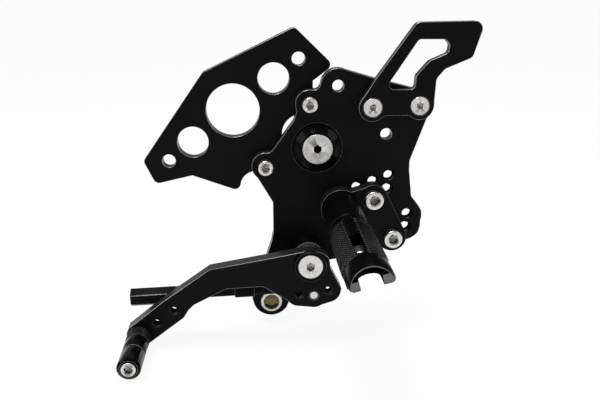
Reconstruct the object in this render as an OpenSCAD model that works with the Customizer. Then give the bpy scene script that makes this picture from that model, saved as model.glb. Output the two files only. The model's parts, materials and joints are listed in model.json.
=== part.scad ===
/* [Main plate] */
// Thickness of the main plate
plate_t = 8; // [6:0.5:12]
// Radius of the lugs round the two adapter screws
lug_r = 9.2; // [8.5:0.1:10.5]
// Radius of the lug at the top of the plate
top_lug_r = 11.2; // [9:0.1:12.5]
// Radius of the ear that takes the lower frame screw
ear_r = 11.9; // [10:0.1:14]
// Fillet in the inner corners of the plate's outline
plate_fillet = 5; // [2:0.5:7]
// Diameter of the two plain holes in the upper half
lightening_hole_d = 7.6; // [5:0.1:9]
// Distance of the lower frame screw below the centre screw
frame_drop = 106.2; // [103:0.1:112]
// Distance of the lower frame screw to the left of the centre screw
frame_shift = 31.8; // [28:0.1:36]

/* [Peg position grid] */
// Pitch of the grid holes along a row
grid_pitch = 11.4; // [11:0.1:12.5]
// Slope of the rows in degrees
grid_slope = 20.3; // [15:0.1:25]
// Distance between the two rows of a group
grid_row_step = 9.7; // [9.5:0.1:10.5]
// Distance between the two bracket screws
bracket_span = 30.2; // [28:0.1:32]
// Direction of the lower bracket screw, degrees below the horizontal
bracket_dir = 63.5; // [60:0.5:67]
// Diameter of the empty tapped holes
grid_hole_d = 7.2; // [5:0.1:7.6]

/* [Adapter plate] */
// Thickness of the adapter plate
adapter_t = 8; // [5:0.5:12]
// Tilt of the adapter plate in degrees
adapter_tilt = 37.6; // [36:0.1:39]
// Diameter of the large middle hole
adapter_big_d = 35; // [20:0.5:38]
// Diameter of the two side holes
adapter_side_d = 20.5; // [12:0.5:23]
// Distance between the two side holes
adapter_side_span = 67.4; // [65:0.1:72]
// Diameter of the two end holes
adapter_end_d = 8.8; // [6:0.1:11]
// Distance between the two end holes
adapter_end_span = 108.4; // [106:0.1:112]
// Corner radius of the adapter plate
adapter_corner_r = 4; // [1:0.5:6]

/* [Heel guard] */
// Thickness of the heel guard
guard_t = 6; // [4:0.5:9]
// Radius of the lugs round the guard screws
guard_lug_r = 9; // [7:0.1:10]
// Corner radius of the guard's outline
guard_corner_r = 5; // [2:0.5:6]
// Corner radius of the guard's window
guard_window_r = 3; // [1:0.5:4]

/* [Peg bracket] */
// Thickness of the bracket's foot
bracket_t = 10; // [8:0.5:14]
// Radius of the lugs round the bracket screws
bracket_lug_r = 9.5; // [8.5:0.1:11]
// Radius of the round end under the boss
bracket_boss_foot_r = 13.2; // [13:0.1:15]
// Diameter of the boss
boss_d = 24.6; // [20:0.1:26]
// Length of the boss in front of the bracket's foot
boss_len = 46; // [35:1:55]
// Depth of the counterbores of the bracket screws
bracket_sink = 3; // [1:0.5:4.5]

/* [Foot peg] */
// Diameter of the foot peg
peg_d = 26; // [24:0.5:32]
// Length of the foot peg
peg_len = 77; // [70:1:95]
// Thickness of the ring between boss and peg
peg_ring_t = 1.5; // [1:0.1:3]
// Diameter of that ring
peg_ring_d = 22; // [18:0.5:24]
// Length of the smooth collar at the inner end
peg_collar_len = 6.5; // [4:0.5:10]
// Length of the smooth band at the outer end
peg_band_len = 8; // [4:0.5:12]
// Diameter of the hollow in the outer end
peg_bore_d = 20.8; // [18:0.1:22]
// Length of the solid base that the bolt clamps
peg_base_len = 31.5; // [24:0.5:36]
// Width of the smooth lane along the peg
lane_w = 8; // [5:0.5:10]
// Turn of the lane away from the top in degrees
lane_turn = 15; // [0:1:30]
// Width of the slot in the lane
slot_w = 6; // [4:0.5:7]
// Length of the slot in the lane
slot_len = 29; // [20:1:31]
// Number of knurl teeth round the peg
peg_teeth = 60; // [24:2:80]
// Depth of the knurl teeth
knurl_depth = 0.5; // [0.2:0.1:0.8]
// Pitch of the rings cut across the teeth
knurl_ring_pitch = 6; // [4:0.5:12]
// Width of the notch in the lower side of the outer end
notch_w = 10.8; // [8:0.2:14]
// Length of the notch
notch_len = 26; // [12:1:28]
// Distance of the flat under the outer end from the peg's axis
foot_flat = 9; // [7:0.1:12]
// Length of that flat
foot_flat_len = 14; // [6:1:20]

/* [Shift lever] */
// Thickness of the lever
lever_t = 8; // [6:0.5:11]
// Distance from the main plate's front face to the lever's back face
lever_gap = 25; // [22:0.5:32]
// Distance of the pivot to the left of the centre screw
pivot_shift = 6.6; // [4:0.1:9]
// Distance of the pivot below the centre screw
pivot_drop = 69.2; // [68:0.1:71]
// Radius of the lever round its pivot
lever_hub_r = 12.7; // [11:0.1:14]
// Distance of the rod holes from the pivot
rod_hole_r = 21.3; // [20.5:0.1:22]
// Angle between neighbouring rod holes
rod_hole_step = 26.5; // [25:0.5:28]
// Radius of the lever round the rod holes
rod_lug_r = 8.3; // [7:0.1:9]
// Distance between the tapped holes in the lever's tip
tip_pitch = 14.3; // [13:0.1:15.5]
// Slope of the row of tip holes in degrees
tip_slope = 36.4; // [35:0.1:38]
// Radius of the lever's tip
tip_r = 8.2; // [7.6:0.1:9]

/* [Lever bearing] */
// Diameter of the spacer between main plate and lever
spacer_d = 15; // [14:0.5:18]
// Outer diameter of the bearing bush
bush_d = 12; // [11:0.5:14]
// Diameter of the bush's flange
flange_d = 17; // [15.5:0.5:20]
// Thickness of the bush's flange
flange_t = 1.5; // [1:0.1:2.5]
// Diameter of the washer under the pivot screw
pivot_washer_d = 20.4; // [18.4:0.1:24]
// Thickness of that washer
pivot_washer_t = 3; // [2.5:0.1:4]
// Radial clearance of the lever on its bush
run_clear = 0.04; // [0.02:0.01:0.08]
// Side clearance of the lever on its bush
side_clear = 0.05; // [0.03:0.01:0.2]

/* [Toe peg] */
// Diameter of the smooth sleeve
toe_d = 14.5; // [12:0.1:17]
// Length of the sleeve
toe_len = 28.5; // [20:0.5:40]
// Length of the knurled collar at the lever
toe_collar_len = 11; // [6:0.5:16]
// Diameter of the knurled collar
toe_collar_d = 15; // [12.5:0.1:17]
// Number of teeth round the collar
toe_teeth = 32; // [16:2:48]
// Depth of the recess for the screw's head
toe_recess = 3; // [1:0.5:5]
// Width of the groove round the middle of the sleeve
toe_groove_w = 1; // [0.5:0.1:2]
// Chamfer at the sleeve's outer end
toe_chamfer = 1.2; // [0.4:0.1:1.6]

/* [Shift rod] */
// Width across flats of the hexagonal coupling
coupling_af = 10; // [9:0.1:12]
// Length of the coupling
coupling_len = 30; // [20:0.5:36]
// Length of the rod from the ball's centre to the coupling's free end
rod_len = 119.5; // [112:0.5:130]
// Drop of the rod towards its free end in degrees
rod_drop = 2.1; // [0:0.1:5]
// Thickness of the lock nut
nut_t = 5; // [3:0.5:6]
// Diameter of the ball
ball_d = 12.7; // [12:0.1:14]
// Width of the ball across its flats
ball_w = 9; // [8:0.1:10]
// Outer diameter of the rod end's eye
eye_d = 18; // [16.5:0.5:20]
// Width of the rod end's eye
eye_w = 7; // [6:0.1:7.6]
// Thickness of the washer between lever and ball
eye_washer_t = 2; // [1.5:0.1:3]
// Length of the rod end's shank from the ball's centre
eye_shank_len = 51.5; // [40:0.5:58]
// Length of the thicker threaded end of the shank
eye_socket_len = 13; // [8:0.5:20]

/* [Fasteners] */
// Nominal diameter of the two frame screws
m_frame = 10; // [8:1:10]
// Nominal diameter of the screws of bracket and lever pivot
m_mid = 8; // [6:1:8]
// Nominal diameter of the small screws
m_small = 6; // [5:1:6]
// Diameter of the conical washer under the centre screw
cone_d = 31; // [27:0.5:32.5]
// Height of the conical washer in front of the main plate
cone_h = 5; // [3:0.5:7]
// Depth of the recess that seats the conical washer
cone_seat = 2; // [1:0.5:3]
// Radial gap round the conical washer in its recess
cone_gap = 1; // [0.3:0.1:1.5]
// Length of the frame screws behind the main plate
frame_stud = 24; // [15:1:35]
// How much thinner a frame screw's thread is than its plain shank
thread_relief = 0.15; // [0.05:0.05:0.3]
// Depth of the threaded hole in the rod's free end
free_thread_len = 14; // [8:0.5:14.5]

/* [Hidden] */
$fn = 64;
black = [0.07, 0.07, 0.075];
steel = [0.82, 0.82, 0.84];
brass = [0.62, 0.54, 0.36];
// Slack of a screw in the hole that holds it
fit = 0.02;
// Slack of a screw in a plain hole, on the diameter
pass = 0.6;
// Length of the neck between a frame screw's shank and its thread
neck_len = 1.5;

// Faces of the layers along Y, the front being towards minus Y
y_front = -plate_t;
y_guard = y_front - guard_t;
y_bracket = y_front - bracket_t;
y_boss = y_bracket - boss_len;
y_peg = y_boss - peg_ring_t;
y_peg_end = y_peg - peg_len;
y_web = y_peg - peg_base_len;
y_lever_back = y_front - lever_gap;
y_lever = y_lever_back - lever_t;
y_flange = y_lever_back + side_clear;
y_spacer = y_flange + flange_t;
y_bush = y_lever - side_clear;
y_pivot_head = y_bush - pivot_washer_t;
y_toe = y_lever - toe_collar_len;
y_toe_end = y_toe - toe_len;
y_ball_front = y_lever_back + eye_washer_t;
y_rod = y_ball_front + ball_w / 2;
y_ball_back = y_rod + ball_w / 2;

// Centres in the X, Z plane
plate_screw_a = [-5, 28.7];
plate_screw_b = [-33.8, -12.2];
guard_screw_a = [35.1, 26.9];
guard_screw_b = [65.6, 27.8];
top_hole = [13.3, 40.3];
side_hole = [45.4, 8.6];
lower_frame = [-frame_shift, -frame_drop];
pivot = [-pivot_shift, -pivot_drop];
peg_axis = [15.3, -39.5];
bracket_a = [36.6, -32.8];
bracket_b = bracket_a + bracket_span * [cos(bracket_dir), -sin(bracket_dir)];
row_dir = [cos(grid_slope), sin(grid_slope)];
rod_holes = [for (k = [-1 : 1]) pivot + rod_hole_r * [cos(-83.5 + k * rod_hole_step), sin(-83.5 + k * rod_hole_step)]];
tip_first = [-94.6, -98.5];
tip_holes = [for (k = [0 : 2]) tip_first - k * tip_pitch * [cos(tip_slope), sin(tip_slope)]];
toe_axis = tip_holes[2];
rod_hole = rod_holes[1];
adapter_centre = [-54.6, 23.7];

// Head sizes follow the nominal diameter
function cap_d(m) = m < 8 ? 1.67 * m : 1.625 * m;
function low_d(m) = 1.6 * m;
function csk_d(m) = 2 * m;
function hex_af(m) = m < 8 ? 5 : (m < 10 ? 6 : 8);
function csk_af(m) = m < 8 ? 4 : (m < 10 ? 5 : 6);

// Grid holes of one group, counted from the bracket screw in its middle
function group(c) = [for (i = [-1 : 1]) for (j = [0 : 1])
    c + i * grid_pitch * row_dir + j * [0.3, 1] * grid_row_step];

module at(p, y = 0) {
    translate([p[0], y, p[1]]) children();
}

// A bar along Y from y0 at the front to y1 at the back
module bar(y0, y1, d, d_back = -1) {
    translate([0, y1, 0])
        rotate([90, 0, 0])
            cylinder(h = y1 - y0, d1 = d_back < 0 ? d : d_back, d2 = d);
}

module hex_bar(y0, y1, af, turn = 0) {
    translate([0, y1, 0])
        rotate([90, 0, 0])
            rotate([0, 0, turn])
                cylinder(h = y1 - y0, d = af / cos(30), $fn = 6);
}

// A plate whose outline lies in X, Z, from y_f at the front to y_b at the back
module slab(y_f, y_b) {
    translate([0, y_b, 0])
        rotate([90, 0, 0])
            linear_extrude(height = y_b - y_f)
                children();
}

module round_corners(r) {
    offset(r = r) offset(delta = -r) children();
}

module fill_corners(r) {
    offset(r = -r) offset(delta = r) children();
}

module disc(p, r) {
    translate(p) circle(r = r);
}

// Empty tapped hole with a small countersink at both faces
module tapped(p, y_f, y_b, d) {
    at(p) {
        bar(y_f - 1, y_b + 1, d);
        bar(y_f - 0.01, y_f + 0.7, d + 1.4, d);
        bar(y_b - 0.7, y_b + 0.01, d, d + 1.4);
    }
}

module main_outline() {
    fill_corners(plate_fillet)
        union() {
            disc(top_hole, top_lug_r);
            disc(plate_screw_a, lug_r);
            disc(plate_screw_b, lug_r);
            disc(guard_screw_b, 10.8);
            disc(lower_frame, ear_r);
            disc(group(bracket_b)[4], 9.3);
            disc(group(bracket_b)[5], 9.3);
            disc([-24.2, -63], 6);
            polygon([top_hole + [4, 10.3], [36.6, 44.9], [62.1, 38.3], guard_screw_b,
                [71.9, 18.8], [60.4, -9.5], [60.4, -16], [62.6, -34],
                group(bracket_b)[5], group(bracket_b)[4], [62, -66],
                [20, -77.2], [8, -79.2], [-8, -83],
                lower_frame + [ear_r * cos(-25), ear_r * sin(-25)], lower_frame,
                lower_frame + [-ear_r * cos(8), ear_r * sin(8)],
                [-30.2, -64], [-29.2, -62], [-29.2, -37],
                plate_screw_b + [-5.6, -7.3], plate_screw_b, plate_screw_b + [3, 8.6],
                [-27.5, 0.8], [-15.2, 18], [-13.3, 23.5], plate_screw_a, top_hole]);
        }
}

module main_plate() {
    color(black)
        difference() {
            slab(y_front, 0) main_outline();
            at([0, 0]) {
                bar(y_front - 1, y_front + cone_seat, cone_d + 2 * cone_gap);
                bar(y_front, 1, m_frame + pass);
            }
            at(lower_frame) bar(y_front - 1, 1, m_frame + pass);
            for (p = [plate_screw_a, plate_screw_b]) at(p) bar(y_front - 1, 1, m_small + pass);
            for (p = [guard_screw_a, guard_screw_b]) at(p) bar(y_front - 1, 1, m_small + 2 * fit);
            for (p = [top_hole, side_hole]) at(p) bar(y_front - 1, 1, lightening_hole_d);
            for (k = [0, 1, 3, 4, 5]) tapped(group(bracket_a)[k], y_front, 0, grid_hole_d);
            for (k = [0, 1, 3, 4, 5]) tapped(group(bracket_b)[k], y_front, 0, grid_hole_d);
            for (p = [bracket_a, bracket_b]) at(p) bar(y_front - 1, 1, m_mid + 2 * fit);
            at(pivot) bar(y_front - 1, 1, m_mid + 2 * fit);
        }
}

module adapter_outline() {
    round_corners(adapter_corner_r)
        difference() {
            union() {
                translate(adapter_centre)
                    rotate(adapter_tilt)
                        polygon([[0, 31], [-67.5, 10.4], [-71.3, -6.6], [-48.6, -17.2], [-31, -45], [-6, -44],
                            [42, -31], [53, -16.9], [69.6, -17.2], [64.4, 17.4]]);
                disc(plate_screw_a, lug_r);
                disc(plate_screw_b, lug_r);
            }
            translate(adapter_centre)
                rotate(adapter_tilt) {
                    translate([26, -40]) circle(r = 13);
                    translate([-20, -49.5]) circle(r = 10.5);
                }
        }
}

module adapter_plate() {
    color(black)
        difference() {
            slab(0, adapter_t) adapter_outline();
            for (p = [plate_screw_a, plate_screw_b]) at(p) bar(-1, adapter_t + 1, m_small + 2 * fit);
            at(adapter_centre)
                rotate([0, -adapter_tilt, 0]) {
                    bar(-1, adapter_t + 1, adapter_big_d);
                    for (s = [-1, 1]) {
                        translate([s * adapter_side_span / 2, 0, 0]) bar(-1, adapter_t + 1, adapter_side_d);
                        translate([s * adapter_end_span / 2, 0, 0]) bar(-1, adapter_t + 1, adapter_end_d);
                    }
                }
        }
}

module guard_outline() {
    fill_corners(guard_corner_r)
        union() {
            round_corners(guard_corner_r)
                polygon([guard_screw_a + [-8.4, 3], [36.5, 45.3], [61.3, 80], [104.6, 80.8], [97.8, 58.2],
                    [80.6, 51.2], [75.4, 45], guard_screw_b + [guard_lug_r, 0.5], guard_screw_b + [0, -6.1],
                    guard_screw_a + [0, -5.2]]);
            disc(guard_screw_a, guard_lug_r);
            disc(guard_screw_b, guard_lug_r);
        }
}

module guard_window() {
    round_corners(guard_window_r)
        polygon([[63, 69.6], [79.6, 69.5], [82.6, 66.5], [81.9, 61.2], [70.4, 56.3], [62.2, 47],
            [61.6, 38.4], [46, 38.5], [44.9, 42.3]]);
}

module heel_guard() {
    color(black)
        difference() {
            slab(y_guard, y_front)
                difference() {
                    guard_outline();
                    guard_window();
                }
            for (p = [guard_screw_a, guard_screw_b])
                at(p) {
                    bar(y_guard - 1, y_front + 1, m_small + pass);
                    csk_seat(m_small, y_guard);
                }
        }
}

module bracket_outline() {
    fill_corners(3)
        union() {
            disc(peg_axis, bracket_boss_foot_r);
            disc(bracket_a, bracket_lug_r);
            disc(bracket_b, bracket_lug_r);
            polygon([peg_axis + [4, 11], peg_axis + [12, 13.2], bracket_a + [-2, bracket_lug_r - 0.3], bracket_a,
                bracket_a + bracket_lug_r * [0.895, 0.446], bracket_b + bracket_lug_r * [0.895, 0.446], bracket_b,
                bracket_b + bracket_lug_r * [-0.45, -0.89], peg_axis + [0, -bracket_boss_foot_r]]);
        }
}

module peg_bracket() {
    color(black)
        difference() {
            union() {
                slab(y_bracket, y_front) bracket_outline();
                at(peg_axis) {
                    bar(y_boss + 0.8, y_front, boss_d);
                    bar(y_boss, y_boss + 0.8, boss_d - 1.6, boss_d);
                }
            }
            at(peg_axis) bar(y_boss - 1, y_boss + 26, m_frame + 2 * fit);
            for (p = [bracket_a, bracket_b])
                at(p) {
                    bar(y_bracket - 1, y_front + 1, m_mid + pass);
                    bar(y_bracket - 1, y_bracket + bracket_sink, cap_d(m_mid) + 1);
                }
        }
}

module foot_peg_ring() {
    color(black)
        at(peg_axis)
            difference() {
                bar(y_peg, y_boss, peg_ring_d);
                bar(y_peg - 1, y_boss + 1, m_frame + pass);
            }
}

// Toothed section of a knurl, drawn in the plane across the peg's axis
module knurl_section(d, teeth, depth) {
    polygon([for (i = [0 : 2 * teeth - 1])
        let (r = d / 2 - (i % 2) * depth, a = i * 180 / teeth) [r * cos(a), r * sin(a)]]);
}

module foot_peg() {
    y_knurl_in = y_peg - peg_collar_len;
    y_knurl_out = y_peg_end + peg_band_len;
    rings = floor((y_knurl_in - y_knurl_out) / knurl_ring_pitch);
    lane_r = sqrt(pow(peg_d / 2, 2) - pow(lane_w / 2, 2));
    color(black)
        at(peg_axis)
            rotate([0, -lane_turn, 0])
                difference() {
                    union() {
                        bar(y_knurl_in, y_peg - 0.8, peg_d - 0.6);
                        bar(y_peg - 0.8, y_peg, peg_d - 0.6, peg_d - 2.2);
                        slab(y_knurl_out, y_knurl_in) knurl_section(peg_d, peg_teeth, knurl_depth);
                        bar(y_peg_end + 1.2, y_knurl_out, peg_d - 0.4);
                        bar(y_peg_end, y_peg_end + 1.2, peg_d - 2.8, peg_d - 0.4);
                    }
                    for (k = [1 : max(1, rings - 1)])
                        translate([0, y_knurl_in - k * knurl_ring_pitch, 0])
                            rotate([90, 0, 0])
                                rotate_extrude()
                                    polygon([[peg_d / 2 - knurl_depth, 0], [peg_d / 2 + 1, -knurl_depth - 1],
                                        [peg_d / 2 + 1, knurl_depth + 1]]);
                    bar(y_peg_end - 1, y_peg + 1, m_frame + 0.2);
                    bar(y_peg_end - 1, y_web, peg_bore_d);
                    bar(y_peg_end - 0.01, y_peg_end + 1, peg_bore_d + 2, peg_bore_d);
                    translate([-lane_w, y_peg_end - 1, lane_r]) cube([2 * lane_w, peg_len + 2, 5]);
                    translate([-slot_w / 2, y_web - slot_len + slot_w / 2, 0])
                        cube([slot_w, slot_len - slot_w / 2, peg_d]);
                    translate([0, y_web - slot_len + slot_w / 2, 0]) cylinder(h = peg_d, d = slot_w);
                    translate([-peg_d, y_peg_end - 1, -foot_flat - 10])
                        cube([2 * peg_d, foot_flat_len + 1, 10]);
                    translate([-notch_w / 2, y_peg_end - 1, -peg_d])
                        cube([notch_w, notch_len - notch_w / 2 + 1, peg_d]);
                    translate([0, y_peg_end + notch_len - notch_w / 2, -peg_d]) cylinder(h = peg_d, d = notch_w);
                }
}

module foot_peg_washer() {
    color(steel)
        at(peg_axis)
            difference() {
                bar(y_web - 2, y_web, cap_d(m_frame) + 3);
                bar(y_web - 3, y_web + 1, m_frame + 0.2);
            }
}

// Socket head cap screw: seat at y_seat, shank towards plus Y
module cap_screw(m, y_seat, shank, af, head_d, head_h) {
    difference() {
        union() {
            bar(y_seat, y_seat + shank - 0.6, m);
            bar(y_seat + shank - 0.6, y_seat + shank, m, m - 1.2);
            bar(y_seat - head_h + 0.5, y_seat, head_d);
            bar(y_seat - head_h, y_seat - head_h + 0.5, head_d - 1, head_d);
        }
        hex_bar(y_seat - head_h - 1, y_seat - head_h + 0.55 * head_h, af);
    }
}

// Countersunk screw: flat of the head at y_head, shank towards plus Y
module csk_screw(m, y_head, len, af) {
    difference() {
        union() {
            bar(y_head, y_head + 0.3, csk_d(m));
            bar(y_head + 0.3, y_head + 0.3 + csk_d(m) / 2 - m / 2, csk_d(m), m);
            bar(y_head + 0.3 + csk_d(m) / 2 - m / 2, y_head + len - 0.6, m);
            bar(y_head + len - 0.6, y_head + len, m, m - 1.2);
        }
        hex_bar(y_head - 1, y_head + 0.35 * m, af);
    }
}

// Conical seat that a countersunk screw's head lies in
module csk_seat(m, y_head) {
    bar(y_head - 1, y_head + 0.3, csk_d(m) + 2 * fit);
    bar(y_head + 0.3, y_head + 0.3 + csk_d(m) / 2 - m / 2, csk_d(m) + 2 * fit, m + 2 * fit);
}

module foot_peg_bolt() {
    color(steel)
        at(peg_axis) cap_screw(m_frame, y_web - 2, peg_base_len + peg_ring_t + 24, hex_af(m_frame), cap_d(m_frame), m_frame);
}

module cone_washer() {
    color(black)
        difference() {
            union() {
                bar(y_front, y_front + cone_seat, cone_d);
                bar(y_front - cone_h, y_front, csk_d(m_frame) + 2, cone_d);
            }
            csk_seat(m_frame, y_front - cone_h);
            bar(y_front - cone_h, y_front + cone_seat + 1, m_frame + 2 * fit);
        }
}

// Threaded end of a frame screw behind the main plate, with the neck that ends its plain shank
module frame_thread() {
    bar(-neck_len, 0, m_frame - 1.6);
    bar(0, frame_stud - 0.6, m_frame - thread_relief);
    bar(frame_stud - 0.6, frame_stud, m_frame - thread_relief, m_frame - 1.2);
}

module centre_screw() {
    color(steel) {
        difference() {
            csk_screw(m_frame, y_front - cone_h, plate_t + cone_h + 2, csk_af(m_frame));
            bar(-neck_len, 3, m_frame + 1);
        }
        frame_thread();
    }
}

module lower_frame_screw() {
    color(brass)
        at(lower_frame) {
            difference() {
                cap_screw(m_frame, y_front, plate_t + 2, hex_af(m_frame), low_d(m_frame), 0.6 * m_frame);
                bar(-neck_len, 3, m_frame + 1);
            }
            frame_thread();
        }
}

module plate_screws() {
    color(steel)
        for (p = [plate_screw_a, plate_screw_b])
            at(p) cap_screw(m_small, y_front, plate_t + adapter_t - 1, hex_af(m_small), cap_d(m_small), m_small);
}

module guard_screws() {
    color(steel)
        for (p = [guard_screw_a, guard_screw_b])
            at(p) csk_screw(m_small, y_guard, guard_t + plate_t - 1, csk_af(m_small));
}

module bracket_screws() {
    color(steel)
        for (p = [bracket_a, bracket_b])
            at(p)
                cap_screw(m_mid, y_bracket + bracket_sink, bracket_t - bracket_sink + plate_t - 1, hex_af(m_mid),
                    cap_d(m_mid), m_mid);
}

module lever_spacer() {
    color(black)
        at(pivot)
            difference() {
                bar(y_spacer, y_front, spacer_d);
                bar(y_spacer - 1, y_front + 1, m_mid + 2 * fit);
            }
}

module lever_bush() {
    color(steel)
        at(pivot)
            difference() {
                union() {
                    bar(y_flange, y_spacer, flange_d);
                    bar(y_bush, y_spacer, bush_d);
                }
                bar(y_bush - 1, y_spacer + 1, m_mid + 2 * fit);
                csk_seat(m_mid, y_pivot_head);
            }
}

module lever_washer() {
    color(black)
        at(pivot)
            difference() {
                bar(y_pivot_head, y_bush, pivot_washer_d);
                bar(y_pivot_head - 1, y_bush + 1, m_mid + 2 * fit);
                csk_seat(m_mid, y_pivot_head);
            }
}

module lever_pivot_screw() {
    color(steel)
        at(pivot) csk_screw(m_mid, y_pivot_head, -y_pivot_head - 1, csk_af(m_mid));
}

module lever_outline() {
    fill_corners(6)
        union() {
            disc(pivot, lever_hub_r);
            for (p = rod_holes) disc(p, rod_lug_r);
            disc(toe_axis, tip_r);
            polygon([pivot + [-2.6, lever_hub_r - 0.3], [-29.1, -62.4], [-66.5, -69.4], [-73.6, -72.8],
                tip_first + [-6.6, 6.6], toe_axis + tip_r * [-sin(tip_slope), cos(tip_slope)],
                toe_axis + tip_r * [sin(tip_slope), -cos(tip_slope)],
                [-88.4, -103.6], [-85.2, -98.3], [-81.5, -94.7], [-60.6, -84.1], [-37, -83.2],
                rod_holes[0] + [-rod_lug_r * cos(30), -rod_lug_r * sin(30)],
                rod_holes[0] + [0, -rod_lug_r], rod_holes[1] + [0, -rod_lug_r], rod_holes[2] + [2.5, -rod_lug_r + 0.4],
                rod_holes[2], rod_holes[2] + [rod_lug_r * cos(20), rod_lug_r * sin(20)],
                pivot + [lever_hub_r * cos(10) - 1.8, lever_hub_r * sin(10)], pivot]);
        }
}

module shift_lever() {
    color(black)
        difference() {
            slab(y_lever, y_lever_back) lever_outline();
            at(pivot) bar(y_lever - 1, y_lever_back + 1, bush_d + 2 * run_clear);
            for (k = [0, 2]) tapped(rod_holes[k], y_lever, y_lever_back, m_small - 1);
            at(rod_hole) bar(y_lever - 1, y_lever_back + 1, m_small + 2 * fit);
            for (k = [0, 1]) tapped(tip_holes[k], y_lever, y_lever_back, m_small - 1);
            at(toe_axis) bar(y_lever - 1, y_lever_back + 1, m_small + 2 * fit);
        }
}

module toe_peg_collar() {
    color(black)
        at(toe_axis)
            difference() {
                slab(y_toe, y_lever) knurl_section(toe_collar_d, toe_teeth, knurl_depth);
                bar(y_toe - 1, y_lever + 1, m_small + 2 * fit);
                for (k = [1 : 4])
                    translate([0, y_lever - k * toe_collar_len / 5, 0])
                        rotate([90, 0, 0])
                            rotate_extrude()
                                polygon([[toe_collar_d / 2 - knurl_depth, 0], [toe_collar_d / 2 + 1, -knurl_depth - 0.4],
                                    [toe_collar_d / 2 + 1, knurl_depth + 0.4]]);
            }
}

module toe_peg_sleeve() {
    y_groove = (y_toe + y_toe_end) / 2;
    color(black)
        at(toe_axis)
            difference() {
                union() {
                    bar(y_toe_end + toe_chamfer, y_toe, toe_d);
                    bar(y_toe_end, y_toe_end + toe_chamfer, toe_d - 2 * toe_chamfer, toe_d);
                }
                bar(y_toe_end - 1, y_toe + 1, m_small + 2 * fit);
                bar(y_toe_end - 1, y_toe_end + toe_recess, cap_d(m_small) + 0.6);
                translate([0, y_groove + toe_groove_w / 2, 0])
                    rotate([90, 0, 0])
                        difference() {
                            cylinder(h = toe_groove_w, d = toe_d + 2);
                            translate([0, 0, -1]) cylinder(h = toe_groove_w + 2, d = toe_d - 1.2);
                        }
            }
}

module toe_peg_screw() {
    color(steel)
        at(toe_axis)
            cap_screw(m_small, y_toe_end + toe_recess, y_lever_back - 1 - y_toe_end - toe_recess, hex_af(m_small),
                cap_d(m_small), m_small);
}

// Frame of the shift rod: its length runs along minus X from the ball's centre
module on_rod() {
    at(rod_hole, y_rod) rotate([0, -rod_drop, 0]) rotate([0, -90, 0]) children();
}

module rod_coupling() {
    color(black)
        on_rod()
            translate([0, 0, rod_len - coupling_len])
                difference() {
                    cylinder(h = coupling_len, d = coupling_af / cos(30), $fn = 6);
                    translate([0, 0, -1]) cylinder(h = coupling_len - free_thread_len + 1, d = m_small + 2 * fit);
                    cylinder(h = coupling_len + 1, d = m_small - 1);
                    translate([0, 0, coupling_len - 0.6]) cylinder(h = 0.61, d1 = m_small - 1, d2 = m_small + 0.2);
                }
}

module rod_lock_nut() {
    color(black)
        on_rod()
            translate([0, 0, rod_len - coupling_len - nut_t])
                difference() {
                    rotate(15) cylinder(h = nut_t, d = coupling_af / cos(30), $fn = 6);
                    translate([0, 0, -1]) cylinder(h = nut_t + 2, d = m_small + 2 * fit);
                }
}

module rod_stud() {
    color(black)
        on_rod()
            translate([0, 0, eye_shank_len - eye_socket_len])
                cylinder(h = rod_len - free_thread_len - 1 - eye_shank_len + eye_socket_len, d = m_small);
}

module rod_end_housing() {
    shank_from = ball_d / 2 + run_clear + 0.8;
    color(black)
        difference() {
            union() {
                at(rod_hole, y_rod)
                    rotate([90, 0, 0])
                        rotate_extrude()
                            difference() {
                                translate([0, -eye_w / 2]) square([eye_d / 2, eye_w]);
                                circle(r = ball_d / 2 + run_clear);
                            }
                on_rod() {
                    translate([0, 0, shank_from])
                        cylinder(h = eye_shank_len - eye_socket_len - shank_from, d = eye_w - 0.4);
                    translate([0, 0, eye_shank_len - eye_socket_len]) cylinder(h = eye_socket_len, d = m_small + 2.6);
                }
            }
            on_rod()
                translate([0, 0, eye_shank_len - eye_socket_len])
                    cylinder(h = eye_socket_len + 1, d = m_small + 2 * fit);
        }
}

module rod_end_ball() {
    color(steel)
        at(rod_hole, y_rod)
            rotate([90, 0, 0])
                rotate_extrude()
                    intersection() {
                        circle(d = ball_d);
                        translate([m_small / 2 + fit, -ball_w / 2]) square([ball_d, ball_w]);
                    }
}

module rod_end_washer() {
    color(steel)
        at(rod_hole)
            difference() {
                bar(y_lever_back, y_ball_front, 9);
                bar(y_lever_back - 1, y_ball_front + 1, m_small + 2 * fit);
            }
}

module rod_end_screw() {
    head_h = 0.65 * m_small;
    color(steel)
        at(rod_hole)
            difference() {
                union() {
                    bar(y_lever + 1.1, y_ball_back, m_small);
                    bar(y_lever + 0.5, y_lever + 1.1, m_small - 1.2, m_small);
                    bar(y_ball_back, y_ball_back + head_h, cap_d(m_small));
                }
                hex_bar(y_ball_back + 0.4 * head_h, y_ball_back + head_h + 1, csk_af(m_small));
            }
}

main_plate();
adapter_plate();
heel_guard();
peg_bracket();
foot_peg_ring();
foot_peg();
foot_peg_washer();
foot_peg_bolt();
cone_washer();
centre_screw();
lower_frame_screw();
plate_screws();
guard_screws();
bracket_screws();
lever_spacer();
lever_bush();
lever_washer();
lever_pivot_screw();
shift_lever();
toe_peg_collar();
toe_peg_sleeve();
toe_peg_screw();
rod_coupling();
rod_lock_nut();
rod_stud();
rod_end_housing();
rod_end_ball();
rod_end_washer();
rod_end_screw();
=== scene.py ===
import json
import math

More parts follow.
